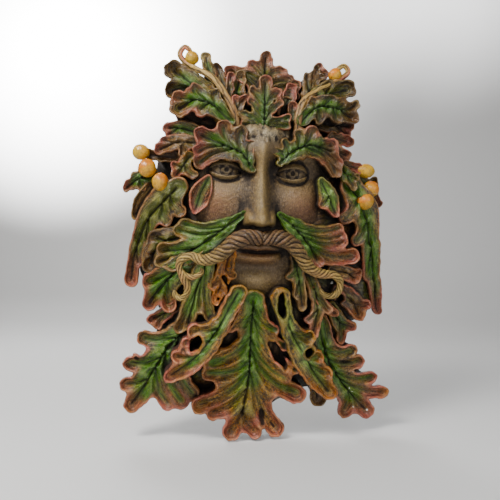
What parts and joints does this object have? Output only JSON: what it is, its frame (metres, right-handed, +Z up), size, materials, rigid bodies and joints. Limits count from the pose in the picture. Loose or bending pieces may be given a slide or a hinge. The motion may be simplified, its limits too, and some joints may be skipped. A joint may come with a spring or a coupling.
{
  "type": "foliate face wall plaque",
  "caption": "Wall plaque of a calm foliate face framed by painted oak leaves, with a leafy crown, acorn-tipped twigs, berries and a curled moustache.",
  "frame": {"origin": "on the flat back, at the middle of the plaque's height, where it lies against the wall", "axes": "+Z up, +Y into the wall; the face looks along -Y"},
  "size_m": [0.2907, 0.0917, 0.3928],
  "materials": {
    "painted_resin": "hand-painted cast resin, greens, ochres and rose with dark wash, satin"
  },
  "bodies": {
    "root": {"green_man_plaque": "painted_resin"}
  },
  "joints": []
}
